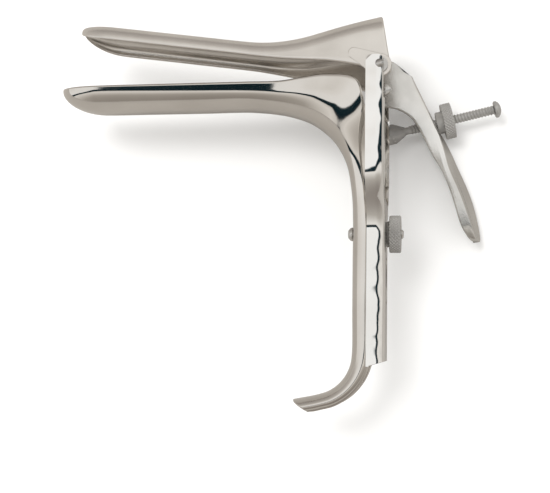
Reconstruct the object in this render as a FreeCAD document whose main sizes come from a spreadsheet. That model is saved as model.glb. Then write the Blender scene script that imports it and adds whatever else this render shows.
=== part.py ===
"""Bivalve speculum: a lower blade with its handle, a sliding frame, and a tilting upper blade.

Millimetres. Each piece is drawn with the instrument upright: X points backwards from the blade
tips, Z up the handle towards the blades, and Y to the side that carries the thumb lever, from an
origin on the front face of the handle, where the lock bolt passes through it. At the end every
piece is laid on its side, lever side down, with the origin below the middle of the whole.
"""
import FreeCAD, Part
import math
import os

import Sketcher

V = FreeCAD.Vector
doc = FreeCAD.newDocument("bivalve_speculum")
sheet = doc.addObject("Spreadsheet::Sheet", "sizes")

# Driving sizes: each has its own name and is written once.
SIZES = {
    # Pressed sheet
    "blade_wall": 1.4,
    "frame_wall": 1.8,
    "lever_wall": 1.5,
    # Lower blade, from its tip back to the bend
    "lower_tip_x": -118.7,
    "lower_ridge_z": 49.4,
    "lower_depth": 8.0,
    "lower_width": 25.4,
    "lower_tip_round": 18.0,
    "lower_tip_rise": 1.4,
    # Throat, where the lower blade turns down into the handle
    "bend_start_x": -41.0,
    "bend_end_z": 5.0,
    "throat_depth": 21.0,
    "throat_flare": 4.4,
    # Handle channel and the hook at its foot
    "handle_width": 18.4,
    "handle_depth": 7.1,
    "handle_edge": 2.2,
    "handle_tuck": 1.4,
    "hook_start_z": -45.5,
    "hook_radius": 16.0,
    "hook_turn": 78.0,
    "hook_end": 8.5,
    # Upper blade
    "upper_tip_x": -111.2,
    "upper_tip_round": 15.0,
    "upper_tip_drop": 2.2,
    "upper_tilt": 8.1,
    "upper_ridge_x": -96.0,
    "upper_ridge_z": 83.9,
    "upper_depth": 6.8,
    "upper_width": 24.6,
    "tail_start_x": -42.0,
    "tail_straight_x": -14.0,
    "tail_rise": 13.0,
    "tail_end_x": 11.3,
    "tail_depth": 25.2,
    "tail_lean": 8.9,
    # Ears and pivot
    "pivot_x": 11.0,
    "pivot_z": 60.9,
    "ear_span": 39.8,
    "ear_round": 4.4,
    "ear_boss": 0.06,
    "pivot_pin_r": 1.5,
    "pivot_head_r": 2.5,
    "pivot_head_thick": 1.3,
    "washer_r": 3.0,
    "washer_thick": 0.8,
    # Frame
    "frame_front_x": 5.9,
    "frame_depth": 6.9,
    "frame_edge_round": 3.4,
    "frame_web": 1.6,
    "stem_width": 22.4,
    "stem_foot_z": -50.3,
    "foot_slope": 2.4,
    "foot_tab": 1.0,
    "foot_tab_height": 4.4,
    "spread_low_z": 13.0,
    "spread_high_z": 37.0,
    "arm_top_z": 64.2,
    "arm_top_round": 2.4,
    "arm_web_width": 3.9,
    "arm_web_top_z": 48.5,
    "slot_travel": 25.0,
    # Lock bolt and nut
    "bolt_r": 1.75,
    "bolt_head_r": 2.6,
    "bolt_head_thick": 1.7,
    "bolt_neck": 3.8,
    "bolt_end_x": 19.4,
    "lock_collar_r": 5.0,
    "lock_collar_length": 1.1,
    "lock_knurl_r": 6.8,
    "lock_knurl_length": 4.3,
    # Thumb lever
    "lever_shoulder_x": 22.0,
    "lever_shoulder_z": 66.5,
    "lever_tip_z": -0.6,
    "lever_slope": 24.9,
    "lever_curl": 0.5,
    "lever_pad_width": 16.0,
    "lever_leg": 6.2,
    "lever_lip": 3.2,
    "lever_corner": 2.4,
    "lever_slot_length": 13.0,
    "lever_slot_gap": 0.6,
    # Adjusting rod, its nut and its stop
    "rod_pivot_x": 9.2,
    "rod_pivot_z": 42.9,
    "rod_rise": 13.0,
    "rod_r": 1.5,
    "rod_length": 46.8,
    "paddle_r": 4.0,
    "paddle_length": 5.6,
    "paddle_thick": 1.8,
    "paddle_taper": 4.6,
    "rod_pin_r": 1.4,
    "rod_pin_head_r": 2.4,
    "rod_pin_head_thick": 0.9,
    "nut_hub_r": 4.5,
    "nut_hub_length": 2.6,
    "nut_knurl_r": 6.9,
    "nut_knurl_length": 4.1,
    "nut_at": 23.2,
    "stop_r": 3.4,
    "stop_thick": 2.6,
    "stop_spigot_r": 0.9,
    "stop_spigot_length": 1.6,
    # Clearances
    "slide_gap": 0.15,
    "face_gap": 0.1,
    "pin_gap": 0.06,
    "fixed_gap": 0.02,
    "braze_gap": 0.25,
}
for row, (alias, value) in enumerate(SIZES.items(), start=1):
    sheet.set("A%d" % row, alias)
    sheet.set("B%d" % row, str(value))
    sheet.setAlias("B%d" % row, alias)
doc.recompute()


def size(alias):
    """Reads one driving size from the sheet."""
    return float(sheet.get(alias))


def feature(label, shape):
    """Adds a finished free-form piece to the document."""
    piece = doc.addObject("Part::Feature", label)
    piece.Label = label
    piece.Shape = shape
    return piece


def turned_body(label, corners, base, axis=V(1, 0, 0)):
    """A round piece: the closed profile of (along, radius) corners turned about its own X axis.

    Each corner is a pair of formulas on the sheet. base is the point where its own origin goes,
    and axis is the direction that its X axis takes.
    """
    body = doc.addObject("PartDesign::Body", label)
    body.Label = label
    sketch = body.newObject("Sketcher::SketchObject", label + "_profile")
    plane = next(item for item in body.Origin.OriginFeatures if item.Role == "XY_Plane")
    sketch.AttachmentSupport = [(plane, "")]
    sketch.MapMode = "FlatFace"
    points = [V(value_of(along), value_of(radius), 0) for along, radius in corners]
    for first, second in zip(points, points[1:] + points[:1]):
        sketch.addGeometry(Part.LineSegment(first, second), False)
    for number in range(len(points)):
        following = (number + 1) % len(points)
        sketch.addConstraint(Sketcher.Constraint("Coincident", number, 2, following, 1))
    for number, (along, radius) in enumerate(corners):
        for kind, formula in (("DistanceX", along), ("DistanceY", radius)):
            rule = Sketcher.Constraint(kind, -1, 1, number, 1, value_of(formula))
            index = sketch.addConstraint(rule)
            sketch.setExpression("Constraints[%d]" % index, formula_on_sheet(formula))
    turn = body.newObject("PartDesign::Revolution", label + "_turn")
    turn.Profile = sketch
    turn.ReferenceAxis = (sketch, ["H_Axis"])
    turn.Angle = 360.0
    body.Placement = FreeCAD.Placement(base, FreeCAD.Rotation(V(1, 0, 0), axis))
    return body


def formula_on_sheet(formula):
    """Rewrites bare size names in a formula as references to the sheet, keeping millimetres."""
    words = formula.replace("(", " ( ").replace(")", " ) ").split()
    return " ".join("sizes." + word if word in SIZES else word for word in words)


def value_of(formula):
    """Works out a formula of sums, products and size names, written with spaces between its words."""
    probe = doc.getObject("probe") or doc.addObject("App::FeaturePython", "probe")
    if not hasattr(probe, "Answer"):
        probe.addProperty("App::PropertyFloat", "Answer")
    probe.setExpression("Answer", formula_on_sheet(formula))
    probe.recompute()
    return probe.Answer


def smooth(fraction):
    """Eases from 0 to 1 with a level start and end."""
    clipped = min(max(fraction, 0.0), 1.0)
    return clipped * clipped * (3.0 - 2.0 * clipped)


# Sections of a pressed trough

CURVE_POINTS = 13
FULLNESS = 2.3


def trough_section(ridge, rim, half_width, wall, leg_share=0.08, tuck=0.0):
    """A closed wire round the wall of a trough, in the plane of its ridge and rim points (x, z).

    Straight legs take leg_share of the depth; tuck is how far they lean in at the rim.
    """
    along_x, along_z = ridge[0] - rim[0], ridge[1] - rim[1]
    depth = math.hypot(along_x, along_z)
    up = V(along_x / depth, 0, along_z / depth)
    origin = V(rim[0], 0, rim[1])
    leg = depth * leg_share

    def face(inset):
        across, rise = half_width - inset, depth - inset - leg
        points = []
        for step in range(CURVE_POINTS):
            turn = math.pi * step / (CURVE_POINTS - 1)
            cosine, sine = math.cos(turn), max(math.sin(turn), 0.0)
            sideways = math.copysign(abs(cosine) ** (2.0 / FULLNESS), cosine) * across
            points.append(origin + V(0, sideways, 0) + up * (leg + rise * sine ** (2.0 / FULLNESS)))
        arch = Part.BSplineCurve()
        arch.interpolate(Points=points, InitialTangent=up, FinalTangent=up * -1)
        start = origin + V(0, across - tuck, 0)
        end = origin - V(0, across - tuck, 0)
        return [Part.LineSegment(start, points[0]), arch, Part.LineSegment(points[-1], end)], start, end

    outer, outer_start, outer_end = face(0.0)
    inner, inner_start, inner_end = face(wall)
    curves = outer + [Part.LineSegment(outer_end, inner_end)]
    curves += inner[::-1] + [Part.LineSegment(inner_start, outer_start)]
    return Part.Wire(Part.__sortEdges__([curve.toShape() for curve in curves]))


def loft(sections):
    """A smooth solid through the sections, with its end caps mended."""
    solid = Part.makeLoft(sections, True, False)
    solid.fix(1e-4, 1e-5, 1e-3)
    return solid


def tip_turns(depth, wall, steps=6):
    """Angles from just inside a rounded blade tip, where the wall still fits, to its full width."""
    first = math.asin(min(0.9, 1.2 * wall / depth))
    return [first + (math.pi / 2 - first) * step / (steps - 1) for step in range(steps)]


# Lower blade with its handle and hook

# Stations round the throat. Each is the ridge's place as shares of the bend's length and height,
# the lean of the section in degrees, then its depth as a share of the throat's, its flare as a
# share, and how far it has become the handle's section.
THROAT = (
    (0.715, 0.968, 12.0, 0.46, 0.04, 0.0),
    (0.560, 0.932, 20.0, 0.61, 0.26, 0.0),
    (0.424, 0.883, 28.0, 0.79, 0.60, 0.0),
    (0.293, 0.801, 40.0, 0.97, 1.00, 0.06),
    (0.180, 0.697, 52.0, 0.66, 0.90, 0.25),
    (0.066, 0.501, 70.0, 0.14, 0.30, 0.75),
    (0.012, 0.230, 84.0, 0.0, 0.04, 0.98),
)


def lower_blade_sections():
    """Stations from the blade's tip over the throat and down the handle to the end of the hook."""
    wall = size("blade_wall")
    tip_x, ridge_z = size("lower_tip_x"), size("lower_ridge_z")
    depth, half_blade = size("lower_depth"), size("lower_width") / 2
    half_handle, handle_depth = size("handle_width") / 2, size("handle_depth")
    tip_round, tip_rise = size("lower_tip_round"), size("lower_tip_rise")
    rim_z = ridge_z + depth
    sections = []
    for turn in tip_turns(depth, wall):
        x = tip_x + tip_round * (1 - math.cos(turn))
        share = math.sin(turn)
        top = rim_z + tip_rise * (1 - share)
        sections.append(trough_section((x, top - depth * share), (x, top), half_blade * share, wall))

    bend_x, bend_z = size("bend_start_x"), size("bend_end_z")
    straight = bend_x - (tip_x + tip_round)
    for share in (0.34, 0.67, 1.0):
        x = tip_x + tip_round + straight * share
        sections.append(trough_section((x, ridge_z), (x, rim_z), half_blade, wall))

    throat, flare = size("throat_depth"), size("throat_flare")
    edge, tuck = size("handle_edge"), size("handle_tuck")
    for along, up, lean, deep, wide, edged in THROAT:
        half_width = half_blade * (1 - edged) + half_handle * edged + flare * wide
        angle = math.radians(lean)
        section_depth = throat * deep + handle_depth * edged
        ridge = (bend_x * along, bend_z + (ridge_z - bend_z) * up)
        rim = (ridge[0] + section_depth * math.sin(angle), ridge[1] + section_depth * math.cos(angle))
        leg_share = 0.08 * (1 - edged) + edge / handle_depth * edged
        sections.append(trough_section(ridge, rim, half_width, wall, leg_share, tuck * edged))

    hook_z, radius, leg_share = size("hook_start_z"), size("hook_radius"), edge / handle_depth
    for share in (0.0, 0.3, 0.65, 1.0):
        z = bend_z + (hook_z - bend_z) * share
        sections.append(trough_section((0, z), (handle_depth, z), half_handle, wall, leg_share, tuck))
    turn_end = math.radians(size("hook_turn"))
    for step in range(1, 6):
        turn = turn_end * step / 5
        out_x, out_z = math.cos(turn), -math.sin(turn)
        ridge = (-radius + radius * out_x, hook_z + radius * out_z)
        rim = (ridge[0] + handle_depth * out_x, ridge[1] + handle_depth * out_z)
        sections.append(trough_section(ridge, rim, half_handle, wall, leg_share, tuck))
    ahead_x, ahead_z = -math.sin(turn_end), -math.cos(turn_end)
    end = size("hook_end")
    ridge = (ridge[0] + end * ahead_x, ridge[1] + end * ahead_z)
    rim = (rim[0] + 0.5 * end * ahead_x, rim[1] + 0.5 * end * ahead_z)
    sections.append(trough_section(ridge, rim, half_handle, wall, leg_share, tuck))
    return sections


def make_lower_blade():
    """The trough, with the square hole that keeps the lock bolt from turning."""
    trough = loft(lower_blade_sections())
    neck = size("bolt_neck") + 2 * size("fixed_gap")
    hole = Part.makeBox(4 * size("blade_wall"), neck, neck, V(-2 * size("blade_wall"), -neck / 2, -neck / 2))
    return feature("lower_blade", trough.cut(hole))


# Upper blade


def upper_ridge_height(x):
    """Height of the upper blade's ridge: a straight blade, a round turn up and a straight tail."""
    fall = -math.tan(math.radians(size("upper_tilt")))
    rise = math.tan(math.radians(size("tail_rise")))
    start, end = size("tail_start_x"), size("tail_straight_x")
    height = size("upper_ridge_z") + fall * (x - size("upper_ridge_x"))
    if x > start:
        inside = min(x, end) - start
        height += (rise - fall) * inside * inside / (2 * (end - start))
    if x > end:
        height += (rise - fall) * (x - end)
    return height


def upper_section(x, share, drop, wall):
    """One station of the upper blade; share scales it down towards the tip."""
    start, end = size("tail_start_x"), size("tail_end_x")
    tail = min(max((x - start) / (end - start), 0.0), 1.0)
    depth = size("upper_depth") + (size("tail_depth") - size("upper_depth")) * tail ** 1.8
    half_width = size("upper_width") / 2
    half_width += (size("ear_span") / 2 - half_width) * smooth(tail * 1.22)
    lean = math.radians(-size("upper_tilt") + (size("tail_lean") + size("upper_tilt")) * tail)
    ridge = (x, upper_ridge_height(x) - drop)
    height = depth * share
    rim = (ridge[0] + height * math.sin(lean), ridge[1] - height * math.cos(lean))
    leg_share = 0.08 + 0.54 * smooth(tail)
    return trough_section(ridge, rim, half_width * share, wall, leg_share)


def make_upper_blade():
    """The upper trough with its two flat ears, bored for the pivot screws."""
    wall = size("blade_wall")
    tip_x, tip_round, depth = size("upper_tip_x"), size("upper_tip_round"), size("upper_depth")
    sections = []
    for turn in tip_turns(depth, wall):
        share = math.sin(turn)
        drop = (size("upper_tip_drop") + 0.0) * (1 - share)
        sections.append(upper_section(tip_x + tip_round * (1 - math.cos(turn)), share, drop, wall))
    start, end = size("tail_start_x"), size("tail_end_x")
    full_x = tip_x + tip_round
    for share in (0.34, 0.67):
        sections.append(upper_section(full_x + (start - full_x) * share, 1.0, 0.0, wall))
    tail_steps = 9
    for step in range(tail_steps):
        sections.append(upper_section(start + (end - start) * step / (tail_steps - 1), 1.0, 0.0, wall))
    blade = loft(sections)

    pivot = V(size("pivot_x"), 0, size("pivot_z"))
    round_r = size("ear_round")
    outer = size("ear_span") / 2
    for low in (outer - wall, -outer):
        lobe = pivot + V(-2.2 * round_r, 0, 1.1 * round_r)
        boss = size("ear_boss")
        blade = blade.fuse(plate_round(pivot, round_r, lobe, 0.5 * round_r, low - boss, wall + 2 * boss))
    blade = blade.cut(cross_pin(pivot, size("pivot_pin_r") + size("pin_gap"), -2 * outer, 2 * outer))
    return feature("upper_blade", blade)


def cross_pin(centre, radius, low_y, high_y):
    """A cylinder along Y between two side planes."""
    return Part.makeCylinder(radius, high_y - low_y, V(centre.x, low_y, centre.z), V(0, 1, 0))


def plate_round(first, first_r, second, second_r, low_y, thickness):
    """A flat plate in the XZ plane round two circles, joined by their common tangents."""
    gap = second - first
    distance = gap.Length
    heading = math.atan2(gap.z, gap.x)
    swing = math.acos((first_r - second_r) / distance)

    def rim_point(centre, radius, angle):
        return V(centre.x + radius * math.cos(angle), low_y, centre.z + radius * math.sin(angle))

    upper, lower = heading + swing, heading - swing
    a, b = rim_point(first, first_r, upper), rim_point(second, second_r, upper)
    c, d = rim_point(second, second_r, lower), rim_point(first, first_r, lower)
    edges = [Part.LineSegment(a, b).toShape(),
             Part.Arc(b, rim_point(second, second_r, heading), c).toShape(),
             Part.LineSegment(c, d).toShape(),
             Part.Arc(d, rim_point(first, first_r, heading + math.pi), a).toShape()]
    return Part.Face(Part.Wire(edges)).extrude(V(0, thickness, 0))


# Frame


def arm_outer():
    """Distance of the arms' outer faces from the middle plane."""
    return size("ear_span") / 2 + size("ear_boss") + size("face_gap") + size("washer_thick") + size("frame_wall")


def frame_side(inset, side, x):
    """Edges up one side of the frame's outline, set in by inset, from the foot to the arm's top."""
    half_stem, half_arms = size("stem_width") / 2, arm_outer()
    low, high = size("spread_low_z"), size("spread_high_z")
    spread, height = half_arms - half_stem, high - low
    radius = (spread * spread + height * height) / (4 * spread)
    swing = 2 * math.atan2(spread, height)

    def point(across, z):
        return V(x, side * across, z)

    def first_arc(angle):
        reach = radius + inset
        return point(half_stem + radius - reach * math.cos(angle), low + reach * math.sin(angle))

    def second_arc(angle):
        reach = radius - inset
        return point(half_arms - radius + reach * math.cos(angle), high - reach * math.sin(angle))

    top, foot = size("arm_top_z"), size("stem_foot_z")
    return [Part.LineSegment(point(0, foot), point(half_stem - inset, foot)).toShape(),
            Part.LineSegment(point(half_stem - inset, foot), first_arc(0)).toShape(),
            Part.Arc(first_arc(0), first_arc(swing / 2), first_arc(swing)).toShape(),
            Part.Arc(second_arc(swing), second_arc(swing / 2), second_arc(0)).toShape(),
            Part.LineSegment(second_arc(0), point(half_arms - inset, top)).toShape()]


def frame_area(inset, x):
    """The face inside the frame's outline, set in by inset, closed straight across the arm tops."""
    left, right = frame_side(inset, 1, x), frame_side(inset, -1, x)
    top = Part.LineSegment(V(x, arm_outer() - inset, size("arm_top_z")),
                           V(x, inset - arm_outer(), size("arm_top_z"))).toShape()
    return Part.Face(Part.Wire(Part.__sortEdges__(left + [top] + right)))


def make_frame():
    """A pressed channel, open at its foot, spread into two arms and slotted for the lock bolt."""
    front, depth = size("frame_front_x"), size("frame_depth")
    wall, web = size("frame_wall"), size("frame_web")
    rear = front + depth
    body = frame_area(0, front).extrude(V(depth, 0, 0))
    outer_edges = [edge for edge in body.Edges
                   if edge.BoundBox.XMin > rear - 0.01 and edge.BoundBox.ZLength > 1]
    body = body.makeFillet(size("frame_edge_round"), outer_edges)
    hollow = frame_area(wall, front - 1).extrude(V(depth + 1 - web, 0, 0))
    inner_edges = [edge for edge in hollow.Edges
                   if edge.BoundBox.XMin > rear - web - 0.01 and edge.BoundBox.ZLength > 1]
    hollow = hollow.makeFillet(size("frame_edge_round") - web, inner_edges)
    below = Part.makeBox(rear - web - front + 1, 2 * (size("stem_width") / 2 - wall), 2 * wall,
                         V(front - 1, wall - size("stem_width") / 2, size("stem_foot_z") - wall))
    body = body.cut(hollow.fuse(below))

    # The foot slopes up towards the back, and small tabs reach forward round the handle
    foot, slope = size("stem_foot_z"), size("foot_slope")
    half = 2 * size("stem_width")
    corners = [V(front, -half, foot), V(rear + 1, -half, foot + slope), V(rear + 1, -half, foot - 1),
               V(front, -half, foot - 1), V(front, -half, foot)]
    body = body.cut(Part.Face(Part.makePolygon(corners)).extrude(V(0, 2 * half, 0)))
    for low in (size("stem_width") / 2 - wall, -size("stem_width") / 2):
        tab = Part.makeBox(size("foot_tab") + 1, wall, size("foot_tab_height"), V(front - size("foot_tab"), low, foot))
        body = body.fuse(tab)

    # The gap between the arms, down to a round crotch
    crotch = frame_area(size("arm_web_width"), front - 1).extrude(V(depth + 2, 0, 0))
    crotch_z = size("spread_low_z") + 0.5 * (size("spread_high_z") - size("spread_low_z"))
    above = Part.makeBox(depth + 4, 4 * arm_outer(), 2 * size("arm_top_z"),
                         V(front - 2, -2 * arm_outer(), crotch_z))
    body = body.cut(crotch.common(above))

    # Above the webs each arm is a plain bar, clear of the ear that turns beside it
    bar = arm_outer() - wall
    clear_z = size("arm_web_top_z")
    body = body.cut(Part.makeBox(depth + 4, 2 * bar, size("arm_top_z"), V(front - 2, -bar, clear_z)))
    corner = size("arm_top_round")
    slab = Part.makeBox(depth, 4 * arm_outer(), 3 * size("arm_top_z"),
                        V(front, -2 * arm_outer(), -2 * size("arm_top_z")))
    top_edges = [edge for edge in slab.Edges
                 if edge.BoundBox.ZMin > size("arm_top_z") - 0.01 and edge.BoundBox.YLength > 1]
    body = body.common(slab.makeFillet(corner, top_edges))

    # Slot for the lock bolt, as long as the frame travels
    half_slot = size("bolt_r") + size("slide_gap")
    travel = size("slot_travel")
    slot = Part.makeCylinder(half_slot, depth + 4, V(front - 2, 0, 0), V(1, 0, 0))
    slot = slot.fuse(Part.makeCylinder(half_slot, depth + 4, V(front - 2, 0, -travel), V(1, 0, 0)))
    slot = slot.fuse(Part.makeBox(depth + 4, 2 * half_slot, travel, V(front - 2, -half_slot, -travel)))
    body = body.cut(slot)

    pivot = V(size("pivot_x"), 0, size("pivot_z"))
    body = body.cut(cross_pin(pivot, size("pivot_pin_r") + size("fixed_gap"), -2 * bar, 2 * bar))
    rod_pivot = V(size("rod_pivot_x"), 0, size("rod_pivot_z"))
    body = body.cut(cross_pin(rod_pivot, size("rod_pin_r") + size("fixed_gap"), 0, 2 * bar))
    return feature("frame", body)


# Thumb lever


def lever_web_low():
    """Inner side plane of the lever's flat web, which lies against the inside of the far ear."""
    outer = size("ear_span") / 2
    return outer - size("blade_wall") - size("ear_boss") - size("braze_gap") - size("lever_wall")


def lever_edge(share):
    """A point (x, z) on the lever's outer edge, from its shoulder at 0 to its tip at 1, and its lean."""
    length = size("lever_shoulder_z") - size("lever_tip_z")
    slope = math.tan(math.radians(size("lever_slope")))
    bent = max(0.0, share - 0.65)
    x = size("lever_shoulder_x") + length * (slope * share - size("lever_curl") * bent * bent)
    return (x, size("lever_shoulder_z") - length * share), math.atan(slope - 2 * size("lever_curl") * bent)


def lever_section(share, width, near_leg, twist):
    """A closed wire round the lever's wall: the web's leg, the pad across it and the far lip."""
    (x, z), lean = lever_edge(share)
    outward = V(math.cos(lean), 0, math.sin(lean))
    across = V(0, 1, 0)
    swing = FreeCAD.Rotation(outward.cross(across), twist)
    outward, across = swing.multVec(outward), swing.multVec(across)
    wall, corner, pad = size("lever_wall"), size("lever_corner"), size("lever_pad_width")
    aside = (pad - width) / 2 if share > 0.8 else 0
    origin = V(x, lever_web_low() + aside, z)

    def point(sideways, depth):
        return origin + across * sideways - outward * depth

    def face(inset):
        low, high, radius = inset, width - inset, corner - inset
        nick = corner - radius * math.sin(math.pi / 4)
        near, far = low + radius * (1 - math.cos(math.pi / 4)), high - radius * (1 - math.cos(math.pi / 4))
        return [Part.LineSegment(point(low, near_leg), point(low, corner)),
                Part.Arc(point(low, corner), point(near, nick), point(low + radius, inset)),
                Part.LineSegment(point(low + radius, inset), point(high - radius, inset)),
                Part.Arc(point(high - radius, inset), point(far, nick), point(high, corner)),
                Part.LineSegment(point(high, corner), point(high, size("lever_lip")))]

    outer, inner = face(0.0), face(wall)
    ends = [Part.LineSegment(point(width, size("lever_lip")), point(width - wall, size("lever_lip"))),
            Part.LineSegment(point(wall, near_leg), point(0, near_leg))]
    curves = outer + ends[:1] + inner[::-1] + ends[1:]
    return Part.Wire(Part.__sortEdges__([curve.toShape() for curve in curves]))


def make_thumb_lever():
    """A flat web at the pivot, turned over along its outer edge into the channelled thumb pad."""
    low, wall = lever_web_low(), size("lever_wall")
    pad, leg = size("lever_pad_width"), size("lever_leg")
    stations = ((0.03, 0.42, 1.15, 0), (0.14, 0.60, 1.1, 0), (0.27, 0.86, 1.03, 0), (0.40, 0.97, 0.93, 3),
                (0.54, 1.0, 0.86, 8), (0.68, 1.0, 0.79, 14), (0.82, 0.98, 0.72, 17), (0.90, 0.90, 0.68, 17),
                (0.955, 0.72, 0.62, 16), (0.985, 0.47, 0.57, 16))
    sections = [lever_section(share, pad * width, leg * depth, twist)
                for share, width, depth, twist in stations]
    strip = loft(sections)

    pivot = V(size("pivot_x"), 0, size("pivot_z"))
    ear = size("ear_round")
    web = plate_round(pivot, 1.5 * ear, pivot + V(-1.4 * ear, 0, 0.4 * ear), 0.7 * ear, low, wall)
    lever = strip.fuse([web, lever_web(low, wall)]).removeSplitter()

    # Slot that the rod passes through
    (x, z), lean = lever_edge(lever_rod_share())
    outward = V(math.cos(lean), 0, math.sin(lean))
    along = V(math.sin(lean), 0, -math.cos(lean))
    half = size("rod_r") + size("lever_slot_gap")
    reach = size("lever_slot_length") / 2 - half
    centre = V(x, rod_plane(), z) - outward * (4 * wall)
    slot = Part.makeCylinder(half, 8 * wall, centre + along * reach, outward)
    slot = slot.fuse(Part.makeCylinder(half, 8 * wall, centre - along * reach, outward))
    block = Part.makeBox(2 * reach, 2 * half, 8 * wall, V(-reach, -half, 0))
    turn = FreeCAD.Rotation(along, outward.cross(along), outward, "XYZ")
    block.Placement = FreeCAD.Placement(centre, turn).multiply(block.Placement)
    lever = lever.cut(slot.fuse(block))
    lever = lever.cut(cross_pin(pivot, size("pivot_pin_r") + size("pin_gap"), 0, 2 * arm_outer()))
    return feature("thumb_lever", lever)


def lever_web(low, wall):
    """The flat plate between the pivot and the lever's shoulder."""
    leg, corner = size("lever_leg"), size("lever_corner")

    def beside(share, depth):
        (x, z), lean = lever_edge(share)
        return V(x - depth * math.cos(lean), low, z - depth * math.sin(lean))

    pivot_x, pivot_z, ear = size("pivot_x"), size("pivot_z"), size("ear_round")
    peak = V(pivot_x + 0.65 * ear, low, pivot_z + 3.1 * ear)
    crest = V(pivot_x - 0.3 * ear, low, pivot_z + 2.65 * ear)
    inside = V(pivot_x - 1.1 * ear, low, pivot_z + 0.5 * ear)
    under = V(pivot_x + 0.3 * ear, low, pivot_z - 1.47 * ear)
    top = Part.BSplineCurve()
    top.interpolate([beside(0.04, corner), V(pivot_x + 1.55 * ear, low, pivot_z + 1.95 * ear), peak])
    bottom = Part.BSplineCurve()
    bottom.interpolate([under, V(pivot_x + 1.9 * ear, low, pivot_z - 2.1 * ear),
                        V(pivot_x + 2.75 * ear, low, pivot_z - 2.85 * ear), beside(0.36, leg), beside(0.50, 0.86 * leg)])
    foot, shoulder = beside(0.50, corner + 0.2), beside(0.04, corner)
    edges = [top.toShape(), Part.LineSegment(peak, crest).toShape(),
             Part.LineSegment(crest, inside).toShape(), Part.LineSegment(inside, under).toShape(),
             bottom.toShape(), Part.LineSegment(beside(0.50, 0.86 * leg), foot).toShape(),
             Part.LineSegment(foot, shoulder).toShape()]
    return Part.Face(Part.Wire(Part.__sortEdges__(edges))).extrude(V(0, wall, 0))


def rod_plane():
    """Side plane of the rod's axis, just outside the far arm."""
    return arm_outer() + size("face_gap") + size("paddle_thick") / 2


def rod_direction():
    rise = math.radians(size("rod_rise"))
    return V(math.cos(rise), 0, math.sin(rise))


def lever_rod_share():
    """Where along the lever's outer edge, from 0 to 1, the rod's axis crosses it."""
    direction = rod_direction()
    low, high = 0.0, 1.0
    for _ in range(40):
        middle = (low + high) / 2
        (x, z), lean = lever_edge(middle)
        offset = (z - size("rod_pivot_z")) * direction.x - (x - size("rod_pivot_x")) * direction.z
        low, high = (middle, high) if offset > 0 else (low, middle)
    return middle


# Adjusting rod


def make_adjusting_rod():
    """A round rod, flattened at its inner end into a bored paddle and turned down at its far end."""
    thick, paddle_r = size("paddle_thick"), size("paddle_r")
    flat, taper, rod_r = size("paddle_length"), size("paddle_taper"), size("rod_r")
    top, bottom = V(flat, -thick / 2, paddle_r), V(flat, -thick / 2, -paddle_r)
    neck_top, neck_bottom = V(flat + taper, -thick / 2, rod_r), V(flat + taper, -thick / 2, -rod_r)
    edges = [Part.Arc(V(0, -thick / 2, paddle_r), V(-paddle_r, -thick / 2, 0),
                      V(0, -thick / 2, -paddle_r)).toShape(),
             Part.LineSegment(V(0, -thick / 2, -paddle_r), bottom).toShape(),
             Part.LineSegment(bottom, neck_bottom).toShape(),
             Part.LineSegment(neck_bottom, neck_top).toShape(),
             Part.LineSegment(neck_top, top).toShape(),
             Part.LineSegment(top, V(0, -thick / 2, paddle_r)).toShape()]
    paddle = Part.Face(Part.Wire(edges)).extrude(V(0, thick, 0))
    start, end = flat + 0.5 * taper, size("rod_length")
    shoulder = Part.makeCone(0.4 * rod_r, rod_r, 0.5 * taper, V(start, 0, 0), V(1, 0, 0))
    shaft = Part.makeCylinder(rod_r, end - flat - taper, V(flat + taper, 0, 0), V(1, 0, 0))
    spigot = Part.makeCylinder(size("stop_spigot_r"), size("stop_spigot_length"), V(end, 0, 0), V(1, 0, 0))
    rod = paddle.fuse([shoulder, shaft, spigot]).removeSplitter()
    rod = rod.cut(cross_pin(V(0, 0, 0), size("rod_pin_r") + size("pin_gap"), -thick, thick))
    piece = feature("adjusting_rod", rod)
    piece.Placement = FreeCAD.Placement(V(size("rod_pivot_x"), rod_plane(), size("rod_pivot_z")),
                                        FreeCAD.Rotation(V(0, 1, 0), -size("rod_rise")))
    return piece


def along_rod(distance):
    """The point on the rod's axis at this distance from its pivot."""
    return V(size("rod_pivot_x"), rod_plane(), size("rod_pivot_z")) + rod_direction() * distance


# Fasteners, nuts and pins


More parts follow.
